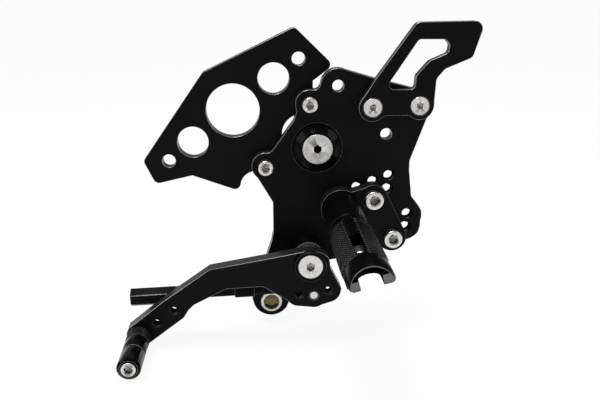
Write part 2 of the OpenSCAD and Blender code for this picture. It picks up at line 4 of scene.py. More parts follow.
import bmesh
import bpy
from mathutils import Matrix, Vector

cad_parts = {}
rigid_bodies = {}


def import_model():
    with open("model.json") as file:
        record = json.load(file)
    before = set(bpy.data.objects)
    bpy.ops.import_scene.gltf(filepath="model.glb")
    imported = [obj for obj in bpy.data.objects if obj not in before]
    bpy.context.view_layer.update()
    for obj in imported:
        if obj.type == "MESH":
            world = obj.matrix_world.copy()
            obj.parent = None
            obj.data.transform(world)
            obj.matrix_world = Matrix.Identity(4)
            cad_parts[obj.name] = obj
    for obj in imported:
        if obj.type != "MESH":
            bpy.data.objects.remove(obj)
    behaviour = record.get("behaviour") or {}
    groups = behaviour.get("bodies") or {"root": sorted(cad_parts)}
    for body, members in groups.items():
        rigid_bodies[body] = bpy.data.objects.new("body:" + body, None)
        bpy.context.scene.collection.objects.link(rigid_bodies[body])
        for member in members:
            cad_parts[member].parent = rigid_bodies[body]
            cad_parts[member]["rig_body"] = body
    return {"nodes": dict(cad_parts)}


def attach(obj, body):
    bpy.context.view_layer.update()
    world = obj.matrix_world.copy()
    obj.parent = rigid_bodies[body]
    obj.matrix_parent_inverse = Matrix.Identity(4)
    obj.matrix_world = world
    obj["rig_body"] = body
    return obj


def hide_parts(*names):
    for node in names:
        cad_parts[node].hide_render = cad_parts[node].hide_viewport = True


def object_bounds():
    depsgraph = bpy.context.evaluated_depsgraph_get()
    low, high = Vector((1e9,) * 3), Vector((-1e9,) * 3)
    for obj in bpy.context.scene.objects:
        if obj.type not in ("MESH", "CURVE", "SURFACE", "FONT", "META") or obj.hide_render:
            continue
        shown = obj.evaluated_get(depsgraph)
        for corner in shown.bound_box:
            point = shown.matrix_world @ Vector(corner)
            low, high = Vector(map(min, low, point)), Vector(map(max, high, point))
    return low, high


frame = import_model()
cad_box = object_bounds()

MM = 0.001
NODES = frame["nodes"]

# Materials: clouds, grain and tool marks are noise over object coordinates, in cycles per metre
CLOUD_SCALE, MARK_SCALE = 55, 900
GRAIN_DEPTH, GRAIN_STRENGTH = 0.00002, 0.25
MARK_DEPTH, MARK_STRENGTH = 0.000004, 0.1
RAMP_START, RAMP_END = 0.3, 0.7


def new_material(name):
    mat = bpy.data.materials.new(name)
    mat.use_nodes = True
    nodes = mat.node_tree.nodes
    return mat, nodes, mat.node_tree.links, nodes["Principled BSDF"]


def noise_over_object(nodes, links, scale, detail, rough):
    coords = nodes.new("ShaderNodeTexCoord")
    noise = nodes.new("ShaderNodeTexNoise")
    noise.inputs["Scale"].default_value = scale
    noise.inputs["Detail"].default_value = detail
    noise.inputs["Roughness"].default_value = rough
    links.new(coords.outputs["Object"], noise.inputs["Vector"])
    return noise.outputs["Fac"]


def ramp_into(nodes, links, source, low, high, socket):
    """Runs a colour or a number from low to high with the source, into a socket of the shader."""
    ramp = nodes.new("ShaderNodeValToRGB")
    ramp.color_ramp.elements[0].position = RAMP_START
    ramp.color_ramp.elements[1].position = RAMP_END
    for element, value in zip(ramp.color_ramp.elements, (low, high)):
        element.color = (*value, 1) if isinstance(value, tuple) else (value, value, value, 1)
    links.new(source, ramp.inputs["Fac"])
    links.new(ramp.outputs["Color"], socket)


def bump_into(nodes, links, source, distance, strength, shader):
    bump = nodes.new("ShaderNodeBump")
    bump.inputs["Distance"].default_value = distance
    bump.inputs["Strength"].default_value = strength
    links.new(source, bump.inputs["Height"])
    links.new(bump.outputs["Normal"], shader.inputs["Normal"])


def coated(name, low, high, rough_low, rough_high, specular, grain=2600):
    """Blasted and anodised or oxidised metal: a fine grain and faint clouds of tone."""
    mat, nodes, links, shader = new_material(name)
    shader.inputs["Specular IOR Level"].default_value = specular
    cloud = noise_over_object(nodes, links, CLOUD_SCALE, 3.0, 0.55)
    fine = noise_over_object(nodes, links, grain, 2.0, 0.55)
    ramp_into(nodes, links, cloud, low, high, shader.inputs["Base Color"])
    ramp_into(nodes, links, fine, rough_low, rough_high, shader.inputs["Roughness"])
    bump_into(nodes, links, fine, GRAIN_DEPTH, GRAIN_STRENGTH, shader)
    return mat


def bright(name, low, high, rough_low, rough_high):
    """Bright steel with fine tool marks."""
    mat, nodes, links, shader = new_material(name)
    shader.inputs["Metallic"].default_value = 1.0
    marks = noise_over_object(nodes, links, MARK_SCALE, 4.0, 0.6)
    ramp_into(nodes, links, marks, low, high, shader.inputs["Base Color"])
    ramp_into(nodes, links, marks, rough_low, rough_high, shader.inputs["Roughness"])
    bump_into(nodes, links, marks, MARK_DEPTH, MARK_STRENGTH, shader)
    return mat


FACE = coated("blasted_face", (0.0015, 0.0015, 0.0017), (0.0027, 0.0027, 0.003), 0.42, 0.55, 0.09)
# Sides: smoother and glossier than the faces, with a lighter base colour that is painted light from above
LIT_SIDE = coated("milled_side_painted_light", (0.007, 0.007, 0.0075), (0.012, 0.012, 0.013), 0.30, 0.42, 0.42, 900)
# Broken edges: a light grey, glossy black that paints a highlight along the chamfers
EDGE_HIGHLIGHT = coated("broken_edge_painted_highlight", (0.09, 0.09, 0.093), (0.17, 0.17, 0.175), 0.22, 0.34, 0.9, 900)
TURNED = coated("turned_black", (0.0012, 0.0012, 0.0014), (0.0024, 0.0024, 0.0027), 0.12, 0.18, 0.06, 1800)
KNURL = coated("knurled_black", (0.0007, 0.0007, 0.0008), (0.0016, 0.0016, 0.0018), 0.26, 0.40, 0.02, 1800)
TIP = coated("turned_tip", (0.001, 0.001, 0.0011), (0.002, 0.002, 0.0022), 0.16, 0.24, 0.02, 1800)
LANE = coated("milled_lane", (0.001, 0.001, 0.0011), (0.002, 0.002, 0.0022), 0.3, 0.42, 0.012, 900)
# Knurl crests: the slopes facing out take a lighter copy of the knurl's black, a painted highlight
CREST_HIGHLIGHT = coated("knurl_crest_painted_highlight", (0.004, 0.004, 0.0041), (0.05, 0.05, 0.0515), 0.22, 0.36, 0.2, 1400)
SATIN = coated("satin_black", (0.0009, 0.0009, 0.001), (0.002, 0.002, 0.0022), 0.24, 0.36, 0.055, 1800)
OXIDE = coated("black_oxide", (0.0045, 0.0045, 0.0047), (0.009, 0.009, 0.0094), 0.36, 0.5, 0.02, 1500)
# A black with no reflection at all, painted shade in the peg's bore, the centre screw's socket and the ring
# at the peg's root; in the bore the black itself is the real anodised colour
SHADE_BLACK = coated("hollow_painted_shade", (0.001, 0.001, 0.001), (0.002, 0.002, 0.002), 0.5, 0.6, 0.0)
# The peg's outer end face: a lighter black that paints on light it would lack facing forward
MILLED_LIT = coated("milled_end_painted_light", (0.09, 0.09, 0.092), (0.155, 0.155, 0.158), 0.28, 0.4, 0.6, 900)
STEEL = bright("stainless_steel", (0.63, 0.62, 0.595), (0.69, 0.68, 0.655), 0.26, 0.30)
# Hex sockets: a darker copy of the steel, painted shade in the recess
SOCKET_SHADE = bright("socket_steel_painted_shade", (0.22, 0.205, 0.18), (0.40, 0.38, 0.34), 0.18, 0.34)
# The lower screw's socket: a warm tint, darker than the head as painted shade, with its walls darker still
# as more painted shade
TINTED_SHADE = bright("tinted_steel", (0.08, 0.064, 0.031), (0.20, 0.165, 0.095), 0.14, 0.3)
TINTED_WALL_SHADE = bright("tinted_wall_painted_shade", (0.02, 0.016, 0.008), (0.07, 0.055, 0.03), 0.16, 0.3)
THREAD = bright("threaded_steel", (0.30, 0.295, 0.28), (0.5, 0.495, 0.48), 0.25, 0.4)

# Meshes: lengths are in millimetres and a place is (x, z), but WELD and MERGE are in metres
WELD, FLATTEN = 2e-6, math.radians(0.3)
MERGE = 1e-5
BREAK_ANGLE, SHARP_ANGLE = math.radians(60), math.radians(30)
# Places of the materials of broken edges and of sides in a piece's list; on black parts these are a painted
# highlight and a lighter black that paints light
BROKEN, FLANK = 1, 2
# A face is a side where its normal has less than this along Y; sides take a lighter black, painted light
SIDE_BELOW = 0.7


def solid_of(node):
    """The CAD node's own solid as one welded mesh with whole flat faces."""
    bm = bmesh.new()
    bm.from_mesh(NODES[node].data)
    bmesh.ops.remove_doubles(bm, verts=bm.verts, dist=WELD)
    bmesh.ops.dissolve_limit(bm, angle_limit=FLATTEN, verts=bm.verts, edges=bm.edges)
    bm.normal_update()
    return bm


def break_edges(bm, width, segments):
    """Breaks the convex edges that are sharper than BREAK_ANGLE."""
    edges = [e for e in bm.edges if len(e.link_faces) == 2 and e.calc_face_angle_signed(0) > BREAK_ANGLE]
    bmesh.ops.bevel(bm, geom=edges, offset=width * MM, offset_type="OFFSET", segments=segments,
                    profile=0.5, affect="EDGES", clamp_overlap=True, material=BROKEN)


def piece(name, bm, materials, nodes=(), body=None):
    """Makes an object that replaces its nodes, or that only rides with a body."""
    mesh = bpy.data.meshes.new(name)
    bm.to_mesh(mesh)
    bm.free()
    if "custom_normal" in mesh.attributes:
        mesh.attributes.remove(mesh.attributes["custom_normal"])
    for material in materials:
        mesh.materials.append(material)
    mesh.shade_smooth()
    mesh.set_sharp_from_angle(angle=SHARP_ANGLE)
    obj = bpy.data.objects.new(name, mesh)
    bpy.context.scene.collection.objects.link(obj)
    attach(obj, body or NODES[nodes[0]]["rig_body"])
    if nodes:
        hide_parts(*nodes)
    return obj


def dressed(node, materials, width, segments=1, shape=None):
    """A node's solid with broken edges. A third material goes on each face that isn't a front or a back; the
    pieces here give it the lighter black of the sides, painted light.
    """
    bm = solid_of(node)
    if shape:
        shape(bm)
        bmesh.ops.remove_doubles(bm, verts=bm.verts, dist=MERGE)
        bm.normal_update()
    if len(materials) > FLANK:
        for face in bm.faces:
            if abs(face.normal.y) < SIDE_BELOW:
                face.material_index = FLANK
    break_edges(bm, width, segments)
    return piece(node + "_dressed", bm, materials, [node])


def around(place, radius, angle, y):
    """A point in metres round a place, at an angle from the top, clockwise as seen from the front."""
    x, z = place
    return (x + radius * math.sin(angle)) * MM, y * MM, (z + radius * math.cos(angle)) * MM


def ring_stack(bm, place, profile, columns=48, material=0, looped=False):
    """A closed skin through rings along Y. The profile lists (radius, y), and a radius is a number or a
    function of the angle from the top."""
    angles = [2 * math.pi * k / columns for k in range(columns)]
    loops = []
    for radius, y in profile:
        radii = [radius(t) if callable(radius) else radius for t in angles]
        loops.append([bm.verts.new(around(place, r, t, y)) for r, t in zip(radii, angles)])
    faces = []
    for low, high in zip(loops, loops[1:] + (loops[:1] if looped else [])):
        for k in range(columns):
            n = (k + 1) % columns
            faces.append(bm.faces.new((low[k], low[n], high[n], high[k])))
    if not looped:
        faces.append(bm.faces.new(loops[0][::-1]))
        faces.append(bm.faces.new(loops[-1]))
    for face in faces:
        face.material_index = material
    return faces


def hexagon(flats, turn=0.0):
    """Radius of a hexagon of this width across flats at an angle."""
    return lambda t: flats / 2 / math.cos((t + turn) % (math.pi / 3) - math.pi / 6)


def paint_socket(faces, columns):
    """Gives the wall and the bottom of a socket, its two last bands, and both caps material 1, a darker
    material that paints shade into the socket.
    """
    for face in faces[-2 * columns - 2:]:
        face.material_index = 1


def socket_screw(bm, place, y_seat, d, shank, head_d, head_h, flats, turn=0.0):
    """A cap screw with a rounded head, a conical lead-in and a hexagonal socket."""
    columns, steps, rounding, chamfer = 48, 5, 0.9, 0.6
    top = y_seat - head_h
    lead = flats / math.sqrt(3) + 0.5
    bottom = top + 0.58 * head_h
    profile = [(d / 2 - chamfer, y_seat + shank), (d / 2, y_seat + shank - chamfer), (d / 2, y_seat),
               (head_d / 2 - 0.2, y_seat), (head_d / 2, y_seat - 0.2)]
    for k in range(steps + 1):
        turned = math.pi / 2 * k / steps
        profile.append((head_d / 2 - rounding * (1 - math.cos(turned)),
                        top + rounding * (1 - math.sin(turned))))
    profile += [(lead + 0.15, top + 0.02), (lead, top + 0.12), (hexagon(flats, turn), top + 0.6),
                (hexagon(flats, turn), bottom), (0.6, bottom + 1.0)]
    paint_socket(ring_stack(bm, place, profile, columns), columns)


def flat_screw(bm, place, y_head, d, length, flats, core=None, y_core=0.0):
    """A countersunk screw with a hexagonal socket. Behind y_core its shank is the thin core of a thread."""
    columns, chamfer, rim = 60, 0.6, 0.3
    head = d - 0.1
    behind = core or d / 2
    bottom = y_head + 0.35 * d
    profile = [(behind - chamfer, y_head + length), (behind, y_head + length - chamfer)]
    if core:
        profile += [(core, y_core), (d / 2, y_core)]
    profile += [(d / 2, y_head + rim + d / 2), (head, y_head + rim), (head, y_head + 0.2),
                (head - 0.2, y_head), (flats / math.sqrt(3) + 0.25, y_head), (hexagon(flats), y_head + 0.3),
                (hexagon(flats), bottom), (0.5, bottom + 0.8)]
    paint_socket(ring_stack(bm, place, profile, columns), columns)


def thread(bm, place, y0, y1, pitch, base, tip, columns=28, material=0):
    """A helical ridge along Y round a place, from its base radius to its tip radius."""
    section = ((base, 0.04 * pitch), (tip, 0.5 * pitch), (base, 0.96 * pitch))
    count = int((y1 - y0 - pitch) / pitch * columns)
    faces = []
    previous = None
    for k in range(count + 1):
        t = 2 * math.pi * k / columns
        y = y0 + pitch * k / columns
        ring = [bm.verts.new(around(place, r, t, y + dy)) for r, dy in section]
        if previous:
            for i in range(3):
                j = (i + 1) % 3
                faces.append(bm.faces.new((previous[i], previous[j], ring[j], ring[i])))
        else:
            faces.append(bm.faces.new(ring[::-1]))
        previous = ring
    faces.append(bm.faces.new(previous))
    for face in faces:
        face.material_index = material


def recalculated(bm):
    bmesh.ops.recalc_face_normals(bm, faces=bm.faces)
    return bm


def place_of(vert):
    """The place of a vertex, in millimetres."""
    return vert.co.x / MM, vert.co.z / MM


def distance(vert, place):
    """Distance of a vertex from an axis along Y."""
    x, z = place_of(vert)
    return math.hypot(x - place[0], z - place[1])


def put(vert, x, z):
    """Moves a vertex to a place in millimetres."""
    vert.co.x = x * MM
    vert.co.z = z * MM


def polar(centre, radius, degrees):
    """A place at a distance from a centre, at an angle from +X towards +Z."""
    angle = math.radians(degrees)
    return centre[0] + radius * math.cos(angle), centre[1] + radius * math.sin(angle)


# Places and layers of the part
Y_PLATE, Y_GUARD, Y_BRACKET = -8.0, -14.0, -18.0
Y_BRACKET_SEAT, Y_PIVOT_HEAD = -15.0, -43.95
PEG_AXIS = (15.3, -39.5)
PIVOT = (-6.6, -69.2)
BRACKET_A = (36.6, -32.8)
BRACKET_B = polar(BRACKET_A, 30.2, -63.5)
TIP_HOLES = [polar((-94.6, -98.5), k * 14.3, 180 + 36.4) for k in range(3)]
TOE = TIP_HOLES[2]
ROD_HOLES = [polar(PIVOT, 21.3, -83.5 + k * 26.5) for k in (-1, 0, 1)]
ADAPTER_SCREWS = ((-5, 28.7), (-33.8, -12.2))
GUARD_SCREWS = ((35.1, 26.9), (65.6, 27.8))

# Main plate: the upper row of each group of grid holes is shifted, and the lower ear is shifted and larger
GRID_PITCH, GRID_SLOPE, GRID_STEP = 11.4, math.radians(20.3), 9.7
GRID_LEAN = 0.3
ROW_SHIFT = (-2.1, -0.5)
HOLE_REACH = 4.7
EAR_CENTRE, EAR_REACH, EAR_HOLE_REACH = (-31.8, -106.2), 12.6, 8
EAR_SHIFT, EAR_GROWTH = (0.6, -0.6), 0.065
LOWER_FRAME = (EAR_CENTRE[0] + EAR_SHIFT[0], EAR_CENTRE[1] + EAR_SHIFT[1])

# Right edge of the main plate: (degrees, radius) from EDGE_CENTRE below EDGE_TOP, and moved out above it
EDGE_CENTRE = (58.0, -50.0)
EDGE_RADII = [(-80, 15.8), (-74.6, 15.8), (-55.8, 15.8), (-43.5, 15.7), (-33.7, 14.8), (-8.7, 13.15),
              (13.6, 14.0), (22.1, 14.35), (30.7, 14.3), (50.7, 14.6), (67.9, 16.5)]
EDGE_X, EDGE_TOP, EDGE_UPPER_END = 60, -34, -5
EDGE_CORNER, EDGE_CORNER_LOW = (64.1, -34.7), -36
EDGE_OUT = 1.4


def grid_hole(centre, i, j):
    return (centre[0] + i * GRID_PITCH * math.cos(GRID_SLOPE) + j * GRID_LEAN * GRID_STEP,
            centre[1] + i * GRID_PITCH * math.sin(GRID_SLOPE) + j * GRID_STEP)


def grid_row(j):
    return [grid_hole(centre, i, j) for centre in (BRACKET_A, BRACKET_B) for i in (-1, 0, 1)]


def edge_radius(degrees):
    for (a0, r0), (a1, r1) in zip(EDGE_RADII, EDGE_RADII[1:]):
        if a0 <= degrees <= a1:
            return r0 + (r1 - r0) * (degrees - a0) / (a1 - a0)
    return None


def shape_lower_ear(vert):
    x, z = place_of(vert)
    growth = EAR_GROWTH if distance(vert, EAR_CENTRE) > EAR_HOLE_REACH else 0.0
    put(vert, x + (x - EAR_CENTRE[0]) * growth + EAR_SHIFT[0],
        z + (z - EAR_CENTRE[1]) * growth + EAR_SHIFT[1])


def shape_right_edge(vert):
    x, z = place_of(vert)
    if x <= EDGE_X:
        return
    degrees = math.degrees(math.atan2(z - EDGE_CENTRE[1], x - EDGE_CENTRE[0]))
    radius = edge_radius(degrees)
    if radius and z < EDGE_TOP:
        put(vert, *polar(EDGE_CENTRE, radius, degrees))
    elif EDGE_CORNER_LOW < z < EDGE_TOP:
        put(vert, EDGE_CORNER[0], max(z, EDGE_CORNER[1]))
    elif EDGE_TOP <= z < EDGE_UPPER_END:
        put(vert, x + EDGE_OUT, z)


def shape_main_plate(bm):
    lower_row, upper_row = grid_row(0), grid_row(1)
    for vert in bm.verts:
        if any(distance(vert, hole) < HOLE_REACH for hole in upper_row):
            x, z = place_of(vert)
            put(vert, x + ROW_SHIFT[0], z + ROW_SHIFT[1])
        elif any(distance(vert, hole) < HOLE_REACH for hole in lower_row):
            continue
        elif distance(vert, EAR_CENTRE) < EAR_REACH:
            shape_lower_ear(vert)
        else:
            shape_right_edge(vert)


def build_plates():
    dressed("main_plate", [FACE, EDGE_HIGHLIGHT, LIT_SIDE], 0.8, shape=shape_main_plate)
    dressed("adapter_plate", [FACE, EDGE_HIGHLIGHT, LIT_SIDE], 0.5)
    dressed("heel_guard", [FACE, EDGE_HIGHLIGHT, LIT_SIDE], 0.5)


def build_bracket():
    """The boss in front of the bracket's plate is satin, apart from its broken edges."""
    materials = [FACE, EDGE_HIGHLIGHT, LIT_SIDE, SATIN]
    bracket = dressed("peg_bracket", materials, 0.6)
    for polygon in bracket.data.polygons:
        if polygon.center.y < (Y_BRACKET - 0.5) * MM and polygon.material_index != BROKEN:
            polygon.material_index = materials.index(SATIN)


GRID_THREAD = dict(y0=Y_PLATE + 0.5, y1=-0.5, pitch=1.25, base=3.62, tip=3.1)


def build_grid_threads():
    """M8 threads in the tapped holes that no screw fills."""
    bm = bmesh.new()
    for centre in (BRACKET_A, BRACKET_B):
        for i in (-1, 0, 1):
            for j in (0, 1):
                if (i, j) != (0, 0):
                    x, z = grid_hole(centre, i, j)
                    place = (x + ROW_SHIFT[0] * j, z + ROW_SHIFT[1] * j)
                    thread(bm, place, **GRID_THREAD)
    piece("grid_threads", recalculated(bm), [LIT_SIDE], body=NODES["main_plate"]["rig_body"])


# Shift lever: one sharp corner over the arm, a lower hub, and the back face nearer to the main plate
LEVER_EXTRA = 1.5
ARM_ROUNDING, ROUNDING_REACH = ((-66.5, -69.4), (-73.6, -72.8)), 0.6
LEVER_CORNER = (-70.9, -70.6)
HUB_KEEP, HUB_SHARE, HUB_BORE_REACH = 4.0, 0.67, 7
LEVER_BACK_FROM, FLANGE_RANGE, ROD_WASHER_FROM = -34.5, (-33.5, -31.2), -32.5
SPACER_BORE_REACH, SPACER_GROWTH = 6, 0.28
SPACER_RINGS, SPACER_RING_WIDTH = (-27.6, -25.4), 0.6


def shape_lever(bm):
    for vert in bm.verts:
        if any(distance(vert, end) < ROUNDING_REACH for end in ARM_ROUNDING):
            put(vert, *LEVER_CORNER)
        x, z = place_of(vert)
        over = z - PIVOT[1] - HUB_KEEP
        if over > 0 and distance(vert, PIVOT) >= HUB_BORE_REACH:
            put(vert, x, z - over * (1 - HUB_SHARE))
        if vert.co.y > LEVER_BACK_FROM * MM:
            vert.co.y += LEVER_EXTRA * MM


def shape_bush(bm):
    """The flange of the bush follows the lever's back face."""
    for vert in bm.verts:
        if FLANGE_RANGE[0] * MM < vert.co.y < FLANGE_RANGE[1] * MM:
            vert.co.y += LEVER_EXTRA * MM


def shape_spacer(bm):
    """The spacer follows the bush and is wider behind it."""
    shape_bush(bm)
    for vert in bm.verts:
        if distance(vert, PIVOT) > SPACER_BORE_REACH:
            x, z = place_of(vert)
            put(vert, x + (x - PIVOT[0]) * SPACER_GROWTH, z + (z - PIVOT[1]) * SPACER_GROWTH)


def shape_rod_washer(bm):
    for vert in bm.verts:
        if vert.co.y < ROD_WASHER_FROM * MM:
            vert.co.y += LEVER_EXTRA * MM


def build_lever():
    dressed("shift_lever", [FACE, EDGE_HIGHLIGHT, LIT_SIDE], 0.7, shape=shape_lever)
    dressed("lever_spacer", [TURNED, EDGE_HIGHLIGHT], 0.25, 2, shape_spacer)
    # The spacer's rings are all in the light grey of the broken edges, a painted highlight
    bm = bmesh.new()
    for y in SPACER_RINGS:
        crest, back = y + SPACER_RING_WIDTH / 2, y + SPACER_RING_WIDTH
        profile = [(9.2, y), (9.75, y), (9.85, crest), (9.75, back), (9.2, back)]
        ring_stack(bm, PIVOT, profile, 64, looped=True)
    piece("spacer_rings", recalculated(bm), [EDGE_HIGHLIGHT], body=NODES["lever_spacer"]["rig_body"])
    dressed("lever_bush", [STEEL, STEEL], 0.15, 2, shape_bush)
    dressed("rod_end_washer", [STEEL, STEEL], 0.1, 1, shape_rod_washer)


LEVER_THREAD = dict(y0=-40.4, y1=-32.1, pitch=1.0, base=2.52, tip=2.1)


def build_lever_threads():
    """M6 threads in the lever's empty holes."""
    bm = bmesh.new()
    for place in TIP_HOLES[:2] + [ROD_HOLES[0], ROD_HOLES[2]]:
        thread(bm, place, **LEVER_THREAD)
    piece("lever_threads", recalculated(bm), [LIT_SIDE], body=NODES["shift_lever"]["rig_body"])


# Turned pieces
Y_CONE, Y_CONE_BACK = -13.0, -6
CONE = [(15.5, Y_CONE_BACK), (15.5, -7.6), (15.35, -8.15), (15.0, -8.3), (11.5, -12.75), (11.1, Y_CONE),
        (10.15, Y_CONE), (10.03, -12.9), (10.03, -12.7), (5.05, -7.7), (5.05, Y_CONE_BACK)]
TOE_OUT_FROM, TOE_EXTRA = -72, 2.5


def shape_toe(bm):
    """The outer end of the sleeve reaches a little further out."""
    for vert in bm.verts:
        if vert.co.y < TOE_OUT_FROM * MM:
            vert.co.y -= TOE_EXTRA * MM


def build_turned():
    bm = bmesh.new()
    ring_stack(bm, (0, 0), CONE, 96, looped=True)
    piece("cone_washer_dressed", recalculated(bm), [TURNED], ["cone_washer"])
    # The ring at the peg's root takes the black without reflection, painted shade
    dressed("foot_peg_ring", [SHADE_BLACK, SHADE_BLACK], 0.25, 2)
    dressed("lever_washer", [SATIN, LIT_SIDE], 0.4, 3)
    dressed("toe_peg_sleeve", [TURNED, EDGE_HIGHLIGHT], 0.25, 2, shape_toe)


# Shift rod
COUPLING_END, COUPLING_CORE, COUPLING_GROWTH = 2.0, 4.5, 1.07


def shape_coupling(bm):
    """The coupling is a little thicker than its solid, measured from the line between its ends."""
    xs = [v.co.x for v in bm.verts]
    left = [v for v in bm.verts if v.co.x < min(xs) + COUPLING_END * MM]
    right = [v for v in bm.verts if v.co.x > max(xs) - COUPLING_END * MM]
    start, end = (sum((v.co for v in group), Vector()) / len(group) for group in (left, right))
    axis = (end - start).normalized()
    for vert in bm.verts:
        foot = start + axis * (vert.co - start).dot(axis)
        if (vert.co - foot).length > COUPLING_CORE * MM:
            vert.co = foot + (vert.co - foot) * COUPLING_GROWTH


def build_rod():
    dressed("rod_coupling", [OXIDE, EDGE_HIGHLIGHT], 0.3, 2, shape_coupling)
    for name in ("rod_lock_nut", "rod_stud", "rod_end_housing"):
        dressed(name, [OXIDE, EDGE_HIGHLIGHT], 0.3, 2)
    for name in ("foot_peg_washer", "rod_end_ball", "rod_end_screw"):
        dressed(name, [STEEL, STEEL], 0.2, 2)


# Screws: place, seat, diameter, shank, head's diameter and height, width across the socket's flats
CAP_SCREWS = {
    "bracket_screws": [(BRACKET_A, Y_BRACKET_SEAT, 8, 14, 12.4, 8, 6),
                       (BRACKET_B, Y_BRACKET_SEAT, 8, 14, 12.2, 8, 6)],
    "plate_screws": [(place, Y_PLATE, 6, 15, 10.02, 6, 5) for place in ADAPTER_SCREWS],
    "toe_peg_screw": [(TOE, -78.0, 6, 43, 9.1, 6, 5)],
    "foot_peg_bolt": [(PEG_AXIS, -101.5, 10, 59, 13.0, 10, 8)],
}
SOCKET_TURN = 0.3
FRAME_THREAD = dict(y0=0.5, y1=23.6, pitch=1.5, base=4.15, tip=4.92, columns=36)
FRAME_CORE, FRAME_END, FRAME_CHAMFER = 4.2, 24, 0.6
LOWER_SOCKET_REACH, WALL_BELOW = 5.2, 0.4


def build_cap_screws():
    for node, screws in CAP_SCREWS.items():
        bm = bmesh.new()
        for screw in screws:
            socket_screw(bm, *screw, turn=SOCKET_TURN)
        piece(node + "_dressed", recalculated(bm), [STEEL, SOCKET_SHADE], [node])


def build_lower_frame_screw():
    """The tinted M10 screw in the lower ear, with its thread behind the main plate."""
    materials = [STEEL, TINTED_SHADE, THREAD, TINTED_WALL_SHADE]
    bm = bmesh.new()
    socket_screw(bm, LOWER_FRAME, Y_PLATE, d=10, shank=8, head_d=14.5, head_h=6, flats=8.6)
    for face in bm.faces:
        # Socket faces take the tinted darker steel and the socket walls a darker one still, painted shade in
        # the socket
        x, y, z = (c / MM for c in face.calc_center_median())
        if math.hypot(x - LOWER_FRAME[0], z - LOWER_FRAME[1]) < LOWER_SOCKET_REACH and y < Y_PLATE - 0.5:
            face.normal_update()
            wall = abs(face.normal.y) < WALL_BELOW
            face.material_index = materials.index(TINTED_WALL_SHADE if wall else TINTED_SHADE)
    end = [(FRAME_CORE, 0), (FRAME_CORE, FRAME_END - FRAME_CHAMFER), (FRAME_CORE - FRAME_CHAMFER, FRAME_END)]
    ring_stack(bm, LOWER_FRAME, end, material=materials.index(THREAD))
    thread(bm, LOWER_FRAME, **FRAME_THREAD, material=materials.index(THREAD))
    piece("lower_frame_screw_dressed", recalculated(bm), materials, ["lower_frame_screw"])


def build_flat_screws():
    bm = bmesh.new()
    flat_screw(bm, (0, 0), Y_CONE, d=10, length=37, flats=5, core=FRAME_CORE, y_core=-1.5)
    # The steel centre screw's socket is the black without reflection, painted shade
    piece("centre_screw_dressed", recalculated(bm), [STEEL, SHADE_BLACK], ["centre_screw"])
    bm = bmesh.new()
    thread(bm, (0, 0), **FRAME_THREAD)
    piece("centre_screw_thread", recalculated(bm), [THREAD],
          body=NODES["centre_screw"]["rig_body"])
    bm = bmesh.new()
    for place in GUARD_SCREWS:
        flat_screw(bm, place, Y_GUARD, d=6, length=13, flats=4)
    piece("guard_screws_dressed", recalculated(bm), [STEEL, SOCKET_SHADE], ["guard_screws"])
    bm = bmesh.new()
    flat_screw(bm, PIVOT, Y_PIVOT_HEAD, d=8, length=42.95, flats=5)
    piece("lever_pivot_screw_dressed", recalculated(bm), [STEEL, SOCKET_SHADE], ["lever_pivot_screw"])


# Knurls: rows of square studs, with grooves along and across that fill this share of a pitch on each side
GROOVE = 0.2
COLUMNS_PER_STUD = 4


def knurl_profile(y_in, y_out, radius, depth, pitch, teeth, shape=lambda r, t, y: r):
    """Profile of a knurl for ring_stack. The shape function trims each radius."""
    profile = []
    count = max(1, round((y_in - y_out) / pitch))
    step = (y_in - y_out) / count
    for k in range(count):
        for share, low in ((0.0, 1.0), (GROOVE, 0.0), (1 - GROOVE, 0.0)):
            y = y_in - (k + share) * step

            def reach(t, y=y, low=low):
                phase = t / (2 * math.pi) * teeth % 1.0
                valley = 1.0 if phase < GROOVE or phase > 1 - GROOVE else 0.0
                return shape(radius - depth * max(low, valley), t, y)
            profile.append((reach, y))
    profile.append((lambda t: shape(radius - depth, t, y_out), y_out))
    return profile


# Foot peg, turned about its axis by PEG_TURN. In its own frame a is across and b up through the lane
PEG_R, PEG_TURN = 13.0, math.radians(-15.0)
PEG_IN, PEG_OUT = -65.5, -142.5
NECK_R, NECK_LENGTH = 12.7, 6.4
STUD_DEPTH, STUD_PITCH, STUD_ROWS = 0.5, 2.9, 60
LANE_WIDTH = 8.0
LANE_DEPTH = math.sqrt(PEG_R ** 2 - (LANE_WIDTH / 2) ** 2)
LANE_REACH = 1.2
KNURL_END, KNURL_SLANT_FROM, KNURL_SLANT_TO = -129.0, 11.0, -2.0
SMOOTH_R, SMOOTH_FROM, CONE_FROM = 12.45, -131.0, -139.2
CONE_END_R, RIM_R = 11.3, 11.2
HOLLOW_R, HOLLOW_MOUTH_R, HOLLOW_CHAMFER = 10.3, 10.9, 0.8
WEB = -99.5
FLAT_END, NOTCH_END = PEG_OUT + 20.8, PEG_OUT + 20.2
NOTCH_WIDTH = 12.0
FLOOR_TOP, FLOOR_LOW, FALL = 4.8, -1.8, 0.45
SLOPE_LENGTH, CUT_LENGTH = 24.7, 47
SLOT_WIDTH, SLOT_END = 6.0, -126.0
OUTSIDE = 20
LEFT_CORNER = [(-15.0, 5.5), (-9.4, -2.2), (-9.4, -6), (-15.0, -6)]
RIGHT_CORNER = [(14.0, 3.0), (10.4, -2.2), (10.4, -6), (14.0, -6)]
CORNER_LENGTH = 9
LEAN = 0.9 / (PEG_IN - PEG_OUT)
# Limits of a normal's Y for the milled end, the chamfer, the slopes of the crests and the lane; the end, the
# chamfer and the crests' slopes take lighter blacks, painted light
END_NORMAL, CHAMFER_NORMAL, CREST_NORMAL, LANE_NORMAL = -0.9, -0.3, -0.25, 0.05
CREST_R = 12.3
PEG_MATERIALS = [KNURL, MILLED_LIT, SHADE_BLACK, TIP, CREST_HIGHLIGHT, LIT_SIDE, LANE]


